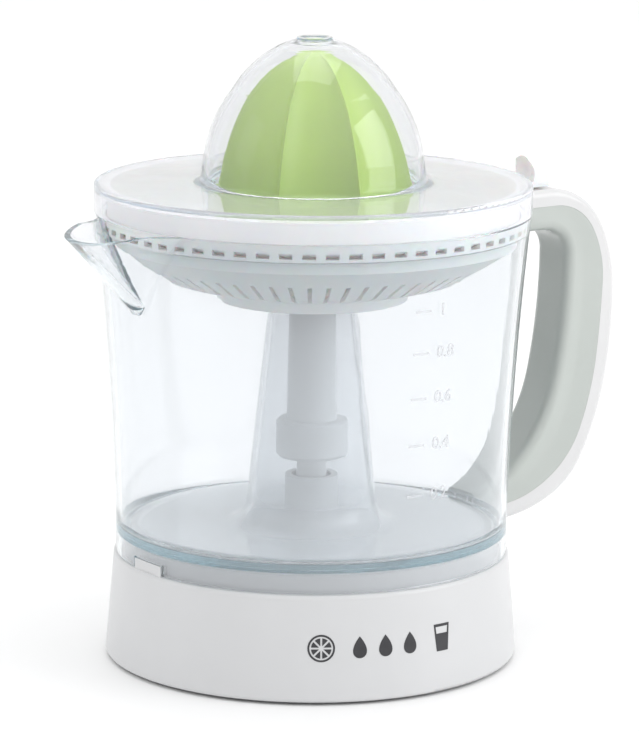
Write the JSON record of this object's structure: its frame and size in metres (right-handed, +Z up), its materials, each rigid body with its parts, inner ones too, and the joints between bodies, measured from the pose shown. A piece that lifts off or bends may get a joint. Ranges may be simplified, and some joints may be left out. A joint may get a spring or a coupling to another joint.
{
  "type": "citrus press juicer",
  "caption": "Electric citrus press: white base with drive, clear jug with spout and handle, strainer with pulp lever, ribbed green reamer and clear domed lid",
  "frame": {"origin": "on the drive axis, at the surface that the feet stand on", "axes": "+Z up along the drive axis, +X towards the jug's handle, -X towards the spout"},
  "size_m": [0.2225, 0.15, 0.2146],
  "materials": {
    "white_abs": "satin",
    "handle_white": "gloss",
    "jug_clear": "clear moulded plastic",
    "lid_clear": "clear moulded plastic",
    "handle_clear": "clear moulded plastic, thick",
    "sieve_white": "translucent",
    "reamer_green": "satin",
    "drive_white": "satin",
    "plate_grey": "matte",
    "rubber_grey": "matte",
    "screw_steel": "zinc plated",
    "ground_steel": "ground",
    "laminated_iron": "laminated",
    "copper_wire": "enamelled winding",
    "bobbin_plastic": "matte",
    "ferrite": "ground ferrite",
    "acetal": "natural acetal",
    "switch_black": "matte",
    "wire_blue": "insulation",
    "bush_bronze": "sintered"
  },
  "bodies": {
    "base": {"base_housing": "white_abs", "base_plate": "plate_grey", "rubber_feet": "rubber_grey", "base_screws": "screw_steel", "cord_gland": "rubber_grey", "stator_core": "laminated_iron", "coil_bobbins": "bobbin_plastic", "coil_windings": "copper_wire", "microswitch": "switch_black", "return_spring": "ground_steel", "terminal_block": "bobbin_plastic", "lead_wires": "wire_blue", "gearbox_frame": "plate_grey", "gearbox_cover": "plate_grey", "gear_pins": "ground_steel", "gearbox_screws": "screw_steel", "shaft_bush": "bush_bronze", "shaft_seal": "rubber_grey"},
    "output_gear": {"output_gear": "acetal"},
    "second_gear": {"second_reduction_gear": "acetal"},
    "first_gear": {"first_reduction_gear": "acetal"},
    "rotor": {"rotor_magnet": "ferrite", "rotor_shaft": "ground_steel", "rotor_pinion": "acetal"},
    "switch_plunger": {"switch_plunger": "acetal"},
    "drive_shaft": {"drive_shaft": "drive_white", "shaft_clip": "ground_steel"},
    "jug": {"jug": "jug_clear", "jug_handle": "handle_clear", "handle_cover": "handle_white"},
    "sieve": {"sieve": "sieve_white"},
    "pulp_ring": {"pulp_ring": "sieve_white"},
    "lid": {"lid": "lid_clear"},
    "reamer_socket": {"reamer_socket": "drive_white"},
    "reamer": {"reamer_cone": "reamer_green"}
  },
  "joints": [
    {"name": "output_spin", "type": "hinge", "parent": "base", "child": "output_gear", "pos_m": [0, 0, 0.0305], "axis": [0, 0, 1], "continuous": true},
    {"name": "second_spin", "type": "hinge", "parent": "base", "child": "second_gear", "pos_m": [-0.01193, -0.03184, 0.0305], "axis": [0, 0, 1], "continuous": true},
    {"name": "first_spin", "type": "hinge", "parent": "base", "child": "first_gear", "pos_m": [-0.02984, -0.02491, 0.0305], "axis": [0, 0, 1], "continuous": true},
    {"name": "rotor_spin", "type": "hinge", "parent": "base", "child": "rotor", "pos_m": [-0.036, -0.008, 0.0135], "axis": [0, 0, 1], "continuous": true},
    {"name": "shaft_press", "type": "slide", "parent": "output_gear", "child": "drive_shaft", "axis": [0, 0, -1], "range_m": [0, 0.0025], "stiffness_N_per_m": 1200, "springref_m": -0.004, "deforming": ["return_spring"]},
    {"name": "plunger_press", "type": "slide", "parent": "base", "child": "switch_plunger", "axis": [0, 0, -1], "range_m": [0, 0.0025]},
    {"name": "jug_lift", "type": "slide", "parent": "base", "child": "jug", "axis": [0, 0, 1], "range_m": [0, 0.12]},
    {"name": "sieve_lift", "type": "slide", "parent": "jug", "child": "sieve", "axis": [0, 0, 1], "range_m": [0, 0.05]},
    {"name": "lid_lift", "type": "slide", "parent": "sieve", "child": "lid", "axis": [0, 0, 1], "range_m": [0, 0.07]},
    {"name": "pulp_lever", "type": "hinge", "parent": "sieve", "child": "pulp_ring", "pos_m": [0, 0, 0.152], "axis": [0, 0, 1], "range_deg": [-6, 6]},
    {"name": "reamer_spin", "type": "hinge", "parent": "sieve", "child": "reamer_socket", "pos_m": [0, 0, 0.15], "axis": [0, 0, 1], "continuous": true},
    {"name": "reamer_press", "type": "slide", "parent": "reamer_socket", "child": "reamer", "axis": [0, 0, -1], "range_m": [0, 0.0025]}
  ],
  "couplings": [
    {"joint": "second_spin", "follows": "output_spin", "ratio": -3.25},
    {"joint": "first_spin", "follows": "output_spin", "ratio": 9.75},
    {"joint": "rotor_spin", "follows": "output_spin", "ratio": -48.75},
    {"joint": "reamer_spin", "follows": "output_spin", "ratio": 1},
    {"joint": "plunger_press", "follows": "shaft_press", "ratio": 1},
    {"joint": "reamer_press", "follows": "shaft_press", "ratio": 1}
  ]
}
